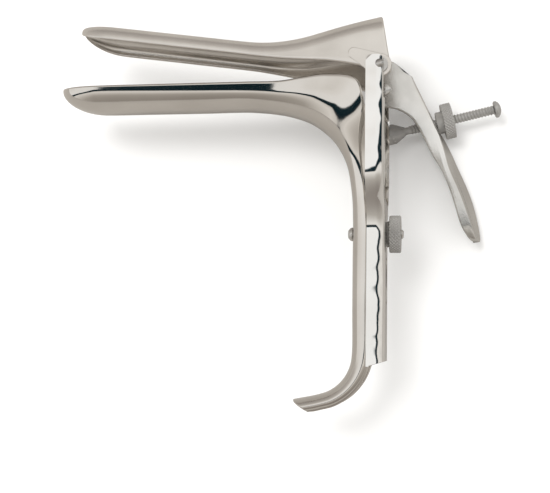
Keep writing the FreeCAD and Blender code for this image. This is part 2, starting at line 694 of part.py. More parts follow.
def make_turned_pieces():
    """Every round piece: bolt, nuts, stop, screws, washers and rivets."""
    side = V(0, 1, 0)
    zero = "0 * face_gap"
    turned_body("lock_bolt", [
        ("0 * bolt_r", zero), ("0 * bolt_r", "0.55 * bolt_head_r"),
        ("0.45 * bolt_head_thick", "0.92 * bolt_head_r"), ("0.8 * bolt_head_thick", "1 * bolt_head_r"),
        ("1 * bolt_head_thick", "1 * bolt_head_r"), ("1 * bolt_head_thick", "1 * bolt_r"),
        ("bolt_head_thick + bolt_end_x - 0.5", "1 * bolt_r"),
        ("bolt_head_thick + bolt_end_x", "bolt_r - 0.6"), ("bolt_head_thick + bolt_end_x", zero)],
        V(-size("bolt_head_thick") - size("face_gap"), 0, 0))
    turned_body("lock_nut", [
        (zero, "bolt_r + pin_gap"), (zero, "lock_collar_r - 0.3"), ("0.3 + 0 * bolt_r", "1 * lock_collar_r"),
        ("1 * lock_collar_length", "1 * lock_collar_r"), ("1 * lock_collar_length", "lock_knurl_r - 0.4"),
        ("lock_collar_length + 0.4", "1 * lock_knurl_r"),
        ("lock_collar_length + lock_knurl_length - 0.5", "1 * lock_knurl_r"),
        ("lock_collar_length + lock_knurl_length", "lock_knurl_r - 0.5"),
        ("lock_collar_length + lock_knurl_length", "bolt_r + pin_gap")],
        V(size("frame_front_x") + size("frame_depth") + size("face_gap"), 0, 0))
    turned_body("tilt_nut", [
        (zero, "rod_r + pin_gap"), (zero, "nut_hub_r - 0.3"), ("0.3 + 0 * bolt_r", "1 * nut_hub_r"),
        ("1 * nut_hub_length", "1 * nut_hub_r"), ("1 * nut_hub_length", "nut_knurl_r - 0.4"),
        ("nut_hub_length + 0.4", "1 * nut_knurl_r"),
        ("nut_hub_length + nut_knurl_length - 0.4", "1 * nut_knurl_r"),
        ("nut_hub_length + nut_knurl_length", "nut_knurl_r - 0.4"),
        ("nut_hub_length + nut_knurl_length", "rod_r + pin_gap")],
        along_rod(size("nut_at")), rod_direction())
    turned_body("rod_stop", [
        (zero, "stop_spigot_r + fixed_gap"), (zero, "stop_r - 0.4"), ("0.3 + 0 * bolt_r", "1 * stop_r"),
        ("0.45 * stop_thick", "1 * stop_r"), ("0.8 * stop_thick", "0.72 * stop_r"),
        ("1 * stop_thick", "0.35 * stop_r"), ("1 * stop_thick", zero),
        ("stop_spigot_length + 0.1", zero), ("stop_spigot_length + 0.1", "stop_spigot_r + fixed_gap")],
        along_rod(size("rod_length")), rod_direction())

    pin_end = "face_gap + washer_thick + frame_wall"
    pivot_x, pivot_z, outer = size("pivot_x"), size("pivot_z"), size("ear_span") / 2 + size("ear_boss")
    near_seat = outer - size("blade_wall") - 2 * size("ear_boss") - size("face_gap") - size("pivot_head_thick")
    far_seat = near_seat - size("braze_gap") - size("lever_wall")
    for label, seat, grip in (
            ("near_pivot_screw", -near_seat, "blade_wall + 2 * ear_boss + face_gap"),
            ("far_pivot_screw", far_seat, "blade_wall + 2 * ear_boss + braze_gap + lever_wall + face_gap")):
        end = "pivot_head_thick + %s + %s" % (grip, pin_end)
        turned_body(label, [
            (zero, zero), (zero, "pivot_head_r - 0.4"), ("0.4 + 0 * bolt_r", "1 * pivot_head_r"),
            ("1 * pivot_head_thick", "1 * pivot_head_r"), ("1 * pivot_head_thick", "1 * pivot_pin_r"),
            (end, "1 * pivot_pin_r"), (end, zero)],
            V(pivot_x, seat, pivot_z), side * math.copysign(1, seat))
    washer_seat = outer + size("face_gap")
    for label, heading in (("near_pivot_washer", -1), ("far_pivot_washer", 1)):
        turned_body(label, [
            (zero, "pivot_pin_r + fixed_gap"), (zero, "1 * washer_r"), ("1 * washer_thick", "1 * washer_r"),
            ("1 * washer_thick", "pivot_pin_r + fixed_gap")],
            V(pivot_x, washer_seat * heading, pivot_z), side * heading)
    grip = "frame_wall + face_gap + paddle_thick + face_gap"
    turned_body("rod_pivot_rivet", [
        (zero, zero), (zero, "1 * rod_pin_r"), (grip, "1 * rod_pin_r"), (grip, "1 * rod_pin_head_r"),
        (grip + " + 0.4 * rod_pin_head_thick", "1 * rod_pin_head_r"),
        (grip + " + rod_pin_head_thick", "0.7 * rod_pin_head_r"), (grip + " + rod_pin_head_thick", zero)],
        V(size("rod_pivot_x"), outer + size("face_gap") + size("washer_thick"), size("rod_pivot_z")), side)


def square_neck():
    """Squares the lock bolt under its head, where it sits in the handle."""
    bolt = doc.getObjectsByLabel("lock_bolt")[0]
    neck = size("bolt_neck")
    length = size("blade_wall")
    block = Part.makeBox(length, neck, neck, V(0, -neck / 2, -neck / 2))
    bolt_shape = bolt.Shape.fuse(block).removeSplitter()
    bolt.Label = "lock_bolt_blank"
    return feature("lock_bolt", bolt_shape)


make_lower_blade()
make_upper_blade()
make_frame()
make_thumb_lever()
make_adjusting_rod()
make_turned_pieces()
doc.recompute()
square_neck()
doc.removeObject("probe")
doc.recompute()

PIECES = ["lower_blade", "frame", "upper_blade", "thumb_lever", "adjusting_rod", "tilt_nut", "rod_stop",
          "lock_bolt", "lock_nut", "near_pivot_screw", "far_pivot_screw", "near_pivot_washer",
          "far_pivot_washer", "rod_pivot_rivet"]

for item in doc.Objects:
    if "Invalid" in item.State or "Error" in item.State:
        raise RuntimeError("%s did not build: %s" % (item.Label, item.State))


def whole_box(pieces):
    """The box round every piece together."""
    box = FreeCAD.BoundBox()
    for piece in pieces:
        box.add(piece.Shape.optimalBoundingBox())
    return box


def move_all(pieces, placement):
    for piece in pieces:
        piece.Placement = placement.multiply(piece.Placement)
    doc.recompute()


# Laid on its side, with the origin under the middle of the whole
pieces = [doc.getObjectsByLabel(label)[0] for label in PIECES]
on_side = FreeCAD.Placement(V(0, 0, 0), FreeCAD.Rotation(V(1, 0, 0), -90))
move_all(pieces, on_side)
box = whole_box(pieces)
to_origin = FreeCAD.Placement(V(-box.Center.x, -box.Center.y, -box.ZMin), FreeCAD.Rotation())
move_all(pieces, to_origin)
box = whole_box(pieces)
print("whole %.2f x %.2f x %.2f" % (box.XLength, box.YLength, box.ZLength))
seat = to_origin.multiply(on_side)
for name, point in (("pivot", V(size("pivot_x"), 0, size("pivot_z"))), ("lock bolt", V(0, 0, 0)),
                    ("rod pivot", along_rod(0)), ("tilt nut", along_rod(size("nut_at"))),
                    ("near arm", V(size("rod_pivot_x"), -arm_outer(), size("rod_pivot_z")))):
    print("%-10s %8.3f %8.3f %8.3f" % ((name,) + tuple(seat.multVec(point))))

os.makedirs("parts", exist_ok=True)
for piece in pieces:
    shape = piece.Shape
    if shape.isNull() or not shape.isValid() or not shape.Solids:
        raise RuntimeError("%s has no sound solid" % piece.Label)
    shape.exportStep("parts/%s.step" % piece.Label)
    print("%-18s solids %d  volume %9.1f" % (piece.Label, len(shape.Solids), shape.Volume))
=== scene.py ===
# %% [markdown]
# # A bivalve speculum in steel
# The instrument is already built as a frame of solids that move. Here it gets its looks: mirror-like
# troughs worked out with numpy, fine threads and knurls, and the soft light of a white studio.
# The first step loads the solids and keeps the box round them, to print at the end.

# %% Load the frame
import math

import bmesh
import bpy
import numpy as np
from mathutils import Matrix, Vector


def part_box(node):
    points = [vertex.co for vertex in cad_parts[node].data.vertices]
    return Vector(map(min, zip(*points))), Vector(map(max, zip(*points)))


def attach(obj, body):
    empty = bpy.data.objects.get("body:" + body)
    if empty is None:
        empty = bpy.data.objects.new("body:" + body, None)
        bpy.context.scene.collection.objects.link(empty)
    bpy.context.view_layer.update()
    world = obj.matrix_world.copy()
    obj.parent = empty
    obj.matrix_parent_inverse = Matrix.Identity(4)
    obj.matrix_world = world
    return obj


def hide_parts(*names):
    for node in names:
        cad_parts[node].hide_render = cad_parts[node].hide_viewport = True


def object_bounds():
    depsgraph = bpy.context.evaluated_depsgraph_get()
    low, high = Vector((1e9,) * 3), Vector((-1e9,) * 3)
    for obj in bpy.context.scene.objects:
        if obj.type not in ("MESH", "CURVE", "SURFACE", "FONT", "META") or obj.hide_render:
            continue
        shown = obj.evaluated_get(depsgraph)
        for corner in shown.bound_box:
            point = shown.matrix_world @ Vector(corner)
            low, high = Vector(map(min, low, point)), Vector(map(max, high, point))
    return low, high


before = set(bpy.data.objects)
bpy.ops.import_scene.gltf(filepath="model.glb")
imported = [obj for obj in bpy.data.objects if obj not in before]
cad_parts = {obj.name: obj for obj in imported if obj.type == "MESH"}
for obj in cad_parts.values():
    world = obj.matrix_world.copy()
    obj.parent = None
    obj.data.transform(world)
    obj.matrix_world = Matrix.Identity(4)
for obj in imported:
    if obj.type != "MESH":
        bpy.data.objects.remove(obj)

CAD_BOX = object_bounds()
MM = 0.001
scene = bpy.context.scene
scene.view_settings.view_transform = "Standard"
print("solids:", sorted(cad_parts))

# %% [markdown]
# ## Where things are
# The drawing of the instrument has it upright: back along X, up the handle along Z, and to the
# lever's side along Y. In the scene it lies on its side. One function turns drawn points into
# scene points. Its offset is read off the lock bolt's solid, so nothing has to be fitted by eye.

# %% From the drawing to the scene
BOLT_HEAD, BOLT_GAP = 1.7, 0.1


def low_and_middle(box):
    """The low corner and the middle of a box, in millimetres."""
    low, high = (np.array(corner) / MM for corner in box)
    return low, (low + high) / 2


bolt_low, bolt_middle = low_and_middle(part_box("lock_bolt"))
OFFSET = np.array([bolt_low[0] + BOLT_HEAD + BOLT_GAP, bolt_middle[1], bolt_middle[2]])


def placed(points):
    """Drawn points in millimetres as scene points in metres: (x, y, z) goes to (x, z, -y), moved."""
    points = np.asarray(points, float)
    turned = np.stack([points[..., 0], points[..., 2], -points[..., 1]], axis=-1)
    return (turned + OFFSET) * MM


print("the drawing's origin lies at", np.round(OFFSET, 3), "mm")

# %% [markdown]
# ## The camera
# It looks down on the instrument as it lies on the table, from a little to the right and below
# its middle. Its place comes from the picture's own perspective, and its lens from the same
# measurement.

# %% Camera
EYE = (31.5, -44.5, 382.3)
LENS, SENSOR, NEAREST = 65.45, 36.0, 0.01
right = Vector((0.98729, 0.01647, -0.15810))
back = Vector((0.15895, -0.10228, 0.98197)).normalized()
up = back.cross(right).normalized()
right = up.cross(back).normalized()
eye = (Vector(EYE) + Vector(OFFSET)) * MM
camera_data = bpy.data.cameras.new("camera")
camera_data.sensor_width = SENSOR
camera_data.lens = LENS
camera_data.clip_start = NEAREST
camera = bpy.data.objects.new("camera", camera_data)
camera.matrix_world = Matrix((
    (right.x, up.x, back.x, eye.x), (right.y, up.y, back.y, eye.y),
    (right.z, up.z, back.z, eye.z), (0, 0, 0, 1)))
scene.collection.objects.link(camera)
scene.camera = camera
print("camera", round(eye.length, 3), "m from the origin")

# %% [markdown]
# ## Writing shaders as sums
# A material is a small sum over the surface. Wrapping a node's socket in a class with Python's own
# operators lets each finish read as that sum, instead of as a list of nodes and links.


# %% Shader arithmetic
class Sock:
    """A shader value that adds Math nodes when it is used in an expression.

    One without a socket holds no value: it is only the start of a tree's nodes.
    """

    def __init__(self, tree, socket=None):
        self.tree, self.socket = tree, socket

    def feed(self, socket, value):
        """Links another Sock to a socket, or else sets the socket to a plain value."""
        if isinstance(value, Sock):
            self.tree.links.new(value.socket, socket)
        else:
            socket.default_value = value

    def node(self, kind, settings=None, inputs=None):
        """Adds a node: its settings first, then the values or links of its sockets."""
        made = self.tree.nodes.new(kind)
        for name, value in (settings or {}).items():
            if name == "stops":
                while len(made.color_ramp.elements) < len(value):
                    made.color_ramp.elements.new(0.5)
                for element, (place, colour) in zip(made.color_ramp.elements, value):
                    element.position, element.color = place, colour
            else:
                setattr(made, name, value)
        for name, value in (inputs or {}).items():
            self.feed(made.inputs[name], value)
        return made

    def out(self, kind, output, settings=None, inputs=None):
        """Adds a node and takes one of its outputs."""
        return Sock(self.tree, self.node(kind, settings, inputs).outputs[output])

    def into(self, node, name):
        """Links this value to a node's input."""
        self.tree.links.new(self.socket, node.inputs[name])

    def math(self, operation, *values):
        """A Math node over the values."""
        return self.out("ShaderNodeMath", 0, {"operation": operation}, dict(enumerate(values)))

    def __add__(self, other):
        return self.math("ADD", self, other)

    def __sub__(self, other):
        return self.math("SUBTRACT", self, other)

    def __mul__(self, other):
        return self.math("MULTIPLY", self, other)

    __radd__, __rmul__ = __add__, __mul__

    def noise(self, scale, detail, stretch=(1, 1, 1)):
        """Smooth noise over the object's own coordinates, stretched along its axes."""
        place = self.out("ShaderNodeTexCoord", "Object")
        spread = self.out("ShaderNodeMapping", 0, None, {"Vector": place, "Scale": stretch})
        return self.out("ShaderNodeTexNoise", "Fac", None,
                        {"Vector": spread, "Scale": scale, "Detail": detail})

    def between(self, low, high):
        """Spreads this value from 0 at low to 1 at high, held inside that range."""
        return self.out("ShaderNodeMapRange", 0, {"clamp": True},
                        {"Value": self, "From Min": low, "From Max": high})

    def blend(self, first, second):
        """Mixes two colours by this value; either may be a Sock."""
        node = self.node("ShaderNodeMix", {"data_type": "RGBA"}, {"Factor": self})
        for name, colour in (("A", first), ("B", second)):
            socket = next(s for s in node.inputs if s.name == name and s.type == "RGBA")
            self.feed(socket, colour if isinstance(colour, Sock) else (*colour, 1))
        return Sock(self.tree, next(s for s in node.outputs if s.type == "RGBA"))


# %% [markdown]
# ## Six finishes of one steel
# Real polish is never even: it has cloudy patches, fine grain from the wheel, and on the frame's
# folded faces slow dents. Noise of three sizes gives them. Only colours and amounts differ between
# the polished lower blade and frame, the satin upper blade and lever, the turned screws and the
# dull knurls.

# %% Steels
CLOUD_SCALE, CLOUD_DETAIL, CLOUD_LOW, CLOUD_HIGH = 45.0, 3.0, 0.35, 0.68
GRAIN_DETAIL, GRAIN_LOW, GRAIN_HIGH, GRAIN_STRENGTH = 4.0, 0.30, 0.72, 0.35
DENT_SCALE, DENT_DETAIL = 85.0, 1.0
CLOUD_SHARE, GRAIN_SHARE = 0.6, 0.4


def steel(name, bright, dull, roughness, spread, grain, grain_depth,
          stretch=(1, 1, 1), dents=0.0, metal=1.0):
    """Polished or satin steel: cloudy colour and roughness, fine grain and, with dents, slow waves.

    Roughness is the given one plus spread times (0.6 clouds + 0.4 grain - 0.5). The grain's
    relief lies on the dents' relief; both depths are in metres.
    """
    material = bpy.data.materials.new(name)
    material.use_nodes = True
    shader = material.node_tree.nodes["Principled BSDF"]
    start = Sock(material.node_tree)
    clouds = start.noise(CLOUD_SCALE, CLOUD_DETAIL).between(CLOUD_LOW, CLOUD_HIGH)
    fine = start.noise(grain, GRAIN_DETAIL, stretch).between(GRAIN_LOW, GRAIN_HIGH)
    clouds.blend(bright, dull).into(shader, "Base Color")
    rough = roughness + spread * (clouds * CLOUD_SHARE + fine * GRAIN_SHARE - 0.5)
    rough.into(shader, "Roughness")
    waves = {"Height": start.noise(DENT_SCALE, DENT_DETAIL), "Strength": 1.0, "Distance": dents}
    slow = start.out("ShaderNodeBump", "Normal", None, waves)
    scratches = {"Height": fine, "Strength": GRAIN_STRENGTH, "Distance": grain_depth, "Normal": slow}
    start.out("ShaderNodeBump", "Normal", None, scratches).into(shader, "Normal")
    shader.inputs["Metallic"].default_value = metal
    return material


BLADE_STEEL = steel("polished_blade_steel", (0.70, 0.672, 0.635), (0.64, 0.612, 0.575),
                    0.055, 0.02, 900.0, 0.000004)
SATIN_STEEL = steel("satin_blade_steel", (0.77, 0.74, 0.70), (0.68, 0.65, 0.61),
                    0.25, 0.05, 900.0, 0.000008, (0.12, 1.0, 1.0))
FRAME_STEEL = steel("polished_frame_steel", (0.86, 0.85, 0.83), (0.80, 0.79, 0.765),
                    0.06, 0.03, 700.0, 0.000005, (1.0, 0.15, 1.0), dents=0.0007)
LEVER_STEEL = steel("satin_lever_steel", (0.80, 0.79, 0.765), (0.62, 0.61, 0.585),
                    0.22, 0.06, 800.0, 0.00002)
SCREW_STEEL = steel("turned_screw_steel", (0.66, 0.65, 0.63), (0.52, 0.51, 0.49),
                    0.28, 0.10, 1500.0, 0.00003)
KNURL_STEEL = steel("dull_knurled_steel", (0.46, 0.45, 0.43), (0.30, 0.29, 0.275),
                    0.26, 0.08, 1800.0, 0.00003, metal=0.45)
print("materials:", [material.name for material in bpy.data.materials])

# %% [markdown]
# ## A trough as a surface of two parameters
# Both blades are pressed sheet: a U that changes size as it runs from the tip to the back. On the
# real object the polished metal shows every dent, so the surface has to be smooth everywhere. A
# subdivided box would wobble, so each blade is worked out point by point: one number runs along
# the blade and the other round its section, out over one side, round the rim and back inside.


# %% Smooth lines through stations
def smooth_through(stations, count):
    """Rows of numbers at even steps on cubic curves through the stations (Catmull-Rom).

    The curves' parameter grows by the square root of each step in the first two columns. From
    station a to b, with slopes m and n and t from 0 to 1 over a width w, a row is
    (1 + 2t)(1 - t)^2 a + t(1 - t)^2 w m + t^2(3 - 2t) b + t^2(t - 1) w n.
    """
    rows = np.asarray(stations, float)
    steps = np.linalg.norm(np.diff(rows[:, :2], axis=0), axis=1) ** 0.5 + 1e-6
    knots = np.concatenate([[0.0], np.cumsum(steps)])
    slopes = np.gradient(rows, knots, axis=0)
    places = np.linspace(0, knots[-1], count)
    index = np.clip(np.searchsorted(knots, places, side="right") - 1, 0, len(rows) - 2)
    width = (knots[index + 1] - knots[index])[:, None]
    t = (places - knots[index])[:, None] / width
    first = (1 + 2 * t) * (1 - t) ** 2 * rows[index] + t * (1 - t) ** 2 * width * slopes[index]
    second = t * t * (3 - 2 * t) * rows[index + 1] + t * t * (t - 1) * width * slopes[index + 1]
    return first + second


# %% Troughs
# the superellipse's power, a rim's roundness, and the wall's thickness at a blade's very end
FULLNESS, BEAD, THINNEST = 2.3, 0.9, 1e-4
# points over the arch, down each leg and round each rim
ARCH, LEG, RIM = 44, 7, 7


def trough(stations, wall, along):
    """Scene points of a walled trough, shaped (along, round), from rows of
    (ridge x, ridge z, rim x, rim z, half width, leg share, tuck, opening).

    Across each station the middle of the wall is two straight legs under a superellipse,
    |y/w|^p + |h/d|^p = 1, spread sideways towards the rim by its opening. The outside and inside
    lie half a wall from it, and flattened half circles join them at the rims. The wall thins to
    nothing along a quarter circle at each end.
    """
    rows = smooth_through(stations, along)
    thick = np.full(len(rows), wall)
    run = np.concatenate([[0.0], np.cumsum(np.linalg.norm(np.diff(rows[:, :2], axis=0), axis=1))])
    for distance in (run, run[-1] - run):
        inside = np.clip(distance / (wall / 2), 0, 1)
        thick = np.minimum(thick, wall * np.sqrt(1 - (1 - inside) ** 2) + THINNEST)
    ridge, rim, opening = rows[:, 0:2], rows[:, 2:4], rows[:, 7:8]
    half, share, tuck = rows[:, 4], rows[:, 5], rows[:, 6]
    rise = ridge - rim
    depth = np.linalg.norm(rise, axis=1)
    rise = rise / depth[:, None]
    leg = depth * share

    angle = np.linspace(0, np.pi, ARCH)
    cosine, sine = np.cos(angle), np.clip(np.sin(angle), 0, None)
    side = np.sign(cosine) * np.abs(cosine) ** (2 / FULLNESS)
    height = sine ** (2 / FULLNESS)

    def face(inset):
        """One face of the wall, as distances across and up from the rim."""
        arch = (half - inset)[:, None] * side[None, :]
        arch_up = leg[:, None] + (depth - inset - leg)[:, None] * height[None, :]
        legs = np.linspace(0, 1, LEG + 1)[None, :-1]
        leg_up = leg[:, None] * legs
        lean = (half - inset)[:, None] - tuck[:, None] * (1 - legs) ** 2
        across = np.concatenate([lean, arch, -lean[:, ::-1]], axis=1)
        upward = np.concatenate([leg_up, arch_up, leg_up[:, ::-1]], axis=1)
        return across * (1 + opening * (1 - upward / depth[:, None])), upward

    outer, outer_up = face((wall - thick) / 2)
    inner, inner_up = face((wall + thick) / 2)
    bead = np.linspace(0, np.pi, RIM + 2)[None, 1:-1]
    middle = (half - tuck - wall / 2)[:, None] * (1 + opening)
    edge = middle - (thick / 2)[:, None] * np.cos(bead)
    edge_up = -(thick / 2)[:, None] * np.sin(bead) * BEAD
    across = np.concatenate([outer, -edge[:, ::-1], inner[:, ::-1], edge], axis=1)
    upward = np.concatenate([outer_up, edge_up, inner_up[:, ::-1], edge_up], axis=1)
    x = rim[:, 0:1] + upward * rise[:, 0:1]
    z = rim[:, 1:2] + upward * rise[:, 1:2]
    return placed(np.stack([x, across, z], axis=-1))


# %% [markdown]
# ## From points to pieces
# Every surface ends up the same way: its doubled points merge, its ends close, its faces turn
# outwards, and the piece gets a finish and rides on the body that it moves with.


# %% Finishing pieces
def cleaned(mesh, merge=1e-7, close=False):
    """Merges a mesh's doubled points, closes its open ends and turns its faces outwards."""
    edit = bmesh.new()
    edit.from_mesh(mesh)
    bmesh.ops.remove_doubles(edit, verts=edit.verts, dist=merge)
    open_edges = [edge for edge in edit.edges if edge.is_boundary]
    if close and open_edges:
        bmesh.ops.holes_fill(edit, edges=open_edges, sides=0)
    bmesh.ops.recalc_face_normals(edit, faces=edit.faces)
    edit.to_mesh(mesh)
    edit.free()


def finish_piece(name, mesh, material, body, sharp=None):
    """Makes a piece of a mesh, gives it its finish and lets it ride on its body."""
    mesh.shade_smooth()
    if sharp:
        mesh.set_sharp_from_angle(angle=math.radians(sharp))
    mesh.materials.append(material)
    piece = bpy.data.objects.new(name, mesh)
    scene.collection.objects.link(piece)
    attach(piece, body)
    print("%-18s %6d faces" % (name, len(mesh.polygons)))
    return piece


def closed_grid(name, points, material, body):
    """A piece from a grid of points that is a closed loop across; its two ends are closed too."""
    rows, columns = points.shape[:2]
    number = np.arange(rows * columns).reshape(rows, columns)
    ahead = np.roll(number, -1, axis=1)
    quads = np.stack([number[:-1], ahead[:-1], ahead[1:], number[1:]], axis=-1).reshape(-1, 4)
    mesh = bpy.data.meshes.new(name)
    mesh.from_pydata(points.reshape(-1, 3), [], quads.tolist())
    mesh.update()
    cleaned(mesh, close=True)
    return finish_piece(name, mesh, material, body)


# %% [markdown]
# ## The lower blade, its handle and its hook
# One sheet makes all three: a long trough, a flared throat where it turns down, and a narrow
# channel that ends in a hook. The stations follow those of the solid. Only the blade's sides open
# a little wider, and the hook's end is shallower and longer, as they look in the picture.

# %% Stations of the lower blade
WALL = 1.4
TIP_X, TIP_ROUND, TIP_RISE = -118.7, 18.0, 1.4
TIP_TURNS = np.linspace(0.06, np.pi / 2, 9)
RIDGE_Z, DEPTH, HALF_BLADE = 49.4, 8.0, 12.7
BEND_X, BEND_Z = -41.0, 5.0
LEG_AT_TIP, LEG_AT_BEND = 0.16, 0.36
OPENING = 0.155
FLOOR_HALF = HALF_BLADE / (1 + OPENING)
HALF_HANDLE, HANDLE_DEPTH, HANDLE_EDGE, HANDLE_TUCK = 9.2, 7.1, 2.2, 1.4
HOOK_Z, HOOK_R, HOOK_TURN, HOOK_STEPS = -45.5, 16.0, math.radians(78.0), 5
HOOK_END, HOOK_DEPTH = 10.2, 5.2
THROAT_DEPTH, THROAT_FLARE = 21.0, 4.4
# shares of the bend's x and of its rise, lean in degrees, depth, flare, share of the handle's form
THROAT = ((0.715, 0.968, 12.0, 0.46, 0.04, 0.0), (0.560, 0.932, 20.0, 0.61, 0.26, 0.0),
          (0.424, 0.883, 28.0, 0.79, 0.60, 0.0), (0.293, 0.801, 40.0, 0.97, 1.00, 0.06),
          (0.180, 0.697, 52.0, 0.66, 0.90, 0.25), (0.066, 0.501, 70.0, 0.14, 0.30, 0.75),
          (0.012, 0.230, 84.0, 0.0, 0.04, 0.98))


def handle_station(ridge, rim):
    """A section of the handle's channel between two (x, z) points."""
    return (*ridge, *rim, HALF_HANDLE, HANDLE_EDGE / HANDLE_DEPTH, HANDLE_TUCK, 0.0)


lower = []
for turn in TIP_TURNS:
    share = math.sin(turn)
    x, top = TIP_X + TIP_ROUND * (1 - math.cos(turn)), RIDGE_Z + DEPTH + TIP_RISE * (1 - share)
    lower.append((x, top - DEPTH * share, x, top, FLOOR_HALF * share, LEG_AT_TIP, 0.0, OPENING))
for share in (0.34, 0.67, 1.0):
    x = TIP_X + TIP_ROUND + (BEND_X - TIP_X - TIP_ROUND) * share
    leg = LEG_AT_TIP + (LEG_AT_BEND - LEG_AT_TIP) * share
    lower.append((x, RIDGE_Z, x, RIDGE_Z + DEPTH, FLOOR_HALF, leg, 0.0, OPENING))
for along, rise, lean, deep, wide, edged in THROAT:
    x, z = BEND_X * along, BEND_Z + (RIDGE_Z - BEND_Z) * rise
    depth = THROAT_DEPTH * deep + HANDLE_DEPTH * edged
    lean = math.radians(lean)
    lower.append((x, z, x + depth * math.sin(lean), z + depth * math.cos(lean),
                  FLOOR_HALF * (1 - edged) + HALF_HANDLE * edged + THROAT_FLARE * wide,
                  LEG_AT_BEND * (1 - edged) + HANDLE_EDGE / HANDLE_DEPTH * edged,
                  HANDLE_TUCK * edged, OPENING * (1 - edged)))
for share in (0.0, 0.3, 0.65, 1.0):
    z = BEND_Z + (HOOK_Z - BEND_Z) * share
    lower.append(handle_station((0, z), (HANDLE_DEPTH, z)))
for turn in HOOK_TURN * np.arange(1, HOOK_STEPS + 1) / HOOK_STEPS:
    out = np.array([math.cos(turn), -math.sin(turn)])
    ridge = np.array([-HOOK_R, HOOK_Z]) + HOOK_R * out
    rim = ridge + (HANDLE_DEPTH + (HOOK_DEPTH - HANDLE_DEPTH) * turn / HOOK_TURN) * out
    lower.append(handle_station(ridge, rim))
ahead = np.array([-math.sin(HOOK_TURN), -math.cos(HOOK_TURN)]) * HOOK_END
lower.append(handle_station(ridge + ahead, rim + ahead / 2))

lower_blade = closed_grid("lower_blade_sheet", trough(lower, WALL, along=520), BLADE_STEEL,
                          "lower_valve")
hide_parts("lower_blade")

# %% [markdown]
# ## The upper blade
# It runs straight back from its round tip, turns up and widens into a tall tail whose two flat
# sides are the ears that the pivot goes through. Each ear ends in a round lug below the rim.

# %% Upper blade
UPPER_TIP_X, UPPER_TIP_ROUND, UPPER_DROP = -111.2, 15.0, 2.2
TILT, UPPER_X, UPPER_Z, UPPER_DEPTH, UPPER_HALF = 8.1, -96.0, 83.9, 6.8, 12.3
TAIL_X, TAIL_STRAIGHT, TAIL_END = -42.0, -14.0, 11.3
TAIL_RISE, TAIL_LEAN, TAIL_DEPTH, TAIL_GROWTH = 13.0, 8.9, 25.2, 1.8
EAR_HALF, EAR_SPREAD = 19.9, 1.22
UPPER_LEG, EAR_LEG = 0.08, 0.54


def smooth(fraction):
    """Eases from 0 to 1: 3f^2 - 2f^3."""
    fraction = np.clip(fraction, 0.0, 1.0)
    return fraction * fraction * (3 - 2 * fraction)


def upper_station(x, share=1.0, drop=0.0):
    """A section of the upper blade at x, smaller by its share and lower by its drop at the tip.

    The ridge falls at the blade's tilt, bends along a parabola and rises straight over the ears.
    """
    fall, rise = -math.tan(math.radians(TILT)), math.tan(math.radians(TAIL_RISE))
    z = UPPER_Z + fall * (x - UPPER_X) - drop
    if x > TAIL_X:
        z += (rise - fall) * (min(x, TAIL_STRAIGHT) - TAIL_X) ** 2 / (2 * (TAIL_STRAIGHT - TAIL_X))
    if x > TAIL_STRAIGHT:
        z += (rise - fall) * (x - TAIL_STRAIGHT)
    tail = min(max((x - TAIL_X) / (TAIL_END - TAIL_X), 0.0), 1.0)
    depth = (UPPER_DEPTH + (TAIL_DEPTH - UPPER_DEPTH) * tail ** TAIL_GROWTH) * share
    half = (UPPER_HALF + (EAR_HALF - UPPER_HALF) * smooth(tail * EAR_SPREAD)) * share
    lean = math.radians(-TILT + (TAIL_LEAN + TILT) * tail)
    return (x, z, x + depth * math.sin(lean), z - depth * math.cos(lean), half,
            UPPER_LEG + EAR_LEG * smooth(tail), 0.0, 0.0)


upper = [upper_station(UPPER_TIP_X + UPPER_TIP_ROUND * (1 - math.cos(turn)), math.sin(turn),
                       UPPER_DROP * (1 - math.sin(turn))) for turn in TIP_TURNS]
full_x = UPPER_TIP_X + UPPER_TIP_ROUND
upper += [upper_station(full_x + (TAIL_X - full_x) * share) for share in (0.34, 0.67)]
upper += [upper_station(x) for x in np.linspace(TAIL_X, TAIL_END, 12)]
upper_blade = closed_grid("upper_blade_sheet", trough(upper, WALL, along=360), SATIN_STEEL,
                          "upper_valve")
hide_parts("upper_blade")

# %% [markdown]
# ## Flat plates with softened edges
# The ears' lugs are flat and only their outline curves. A plate is its outline, carried through
# its thickness; a bevel takes the sharpness off, because a perfectly sharp edge never catches
# the light.


# %% Plates
def prism(name, low, high):
    """A closed mesh between two equal outlines of scene points, with outward faces."""
    count = len(low)
    number = np.arange(count)
    ahead = np.roll(number, -1)
    faces = np.stack([number, ahead, ahead + count, number + count], axis=1).tolist()
    faces += [number[::-1].tolist(), (number + count).tolist()]
    mesh = bpy.data.meshes.new(name)
    mesh.from_pydata(np.concatenate([low, high]), [], faces)
    cleaned(mesh)
    return mesh


def plate(name, outline, low, thickness, material, body):
    """A closed outline of (x, z) points carried along Y from low, with bevelled edges."""
    start, end = (placed(np.insert(outline, 1, y, axis=1)) for y in (low, low + thickness))
    piece = finish_piece(name, prism(name, start, end), material, body, sharp=30)
    bevel = piece.modifiers.new("softened", "BEVEL")
    bevel.width, bevel.segments, bevel.limit_method = SOFTEN * MM, 3, "ANGLE"
    return piece


def round_pair(first, first_r, second, second_r, steps=24):
    """The outline round two circles and their common tangents, as (x, z) points.

    With a gap g between the middles, each tangent touches at acos((r - s) / g) from their line.
    """
    first, second = np.array(first), np.array(second)
    gap = second - first
    heading = math.atan2(gap[1], gap[0])
    swing = math.acos((first_r - second_r) / np.linalg.norm(gap))
    near = np.linspace(heading - swing, heading + swing, steps)
    far = np.linspace(heading + swing, heading - swing + 2 * np.pi, steps)
    return np.concatenate([second + second_r * np.column_stack([np.cos(near), np.sin(near)]),
                           first + first_r * np.column_stack([np.cos(far), np.sin(far)])])


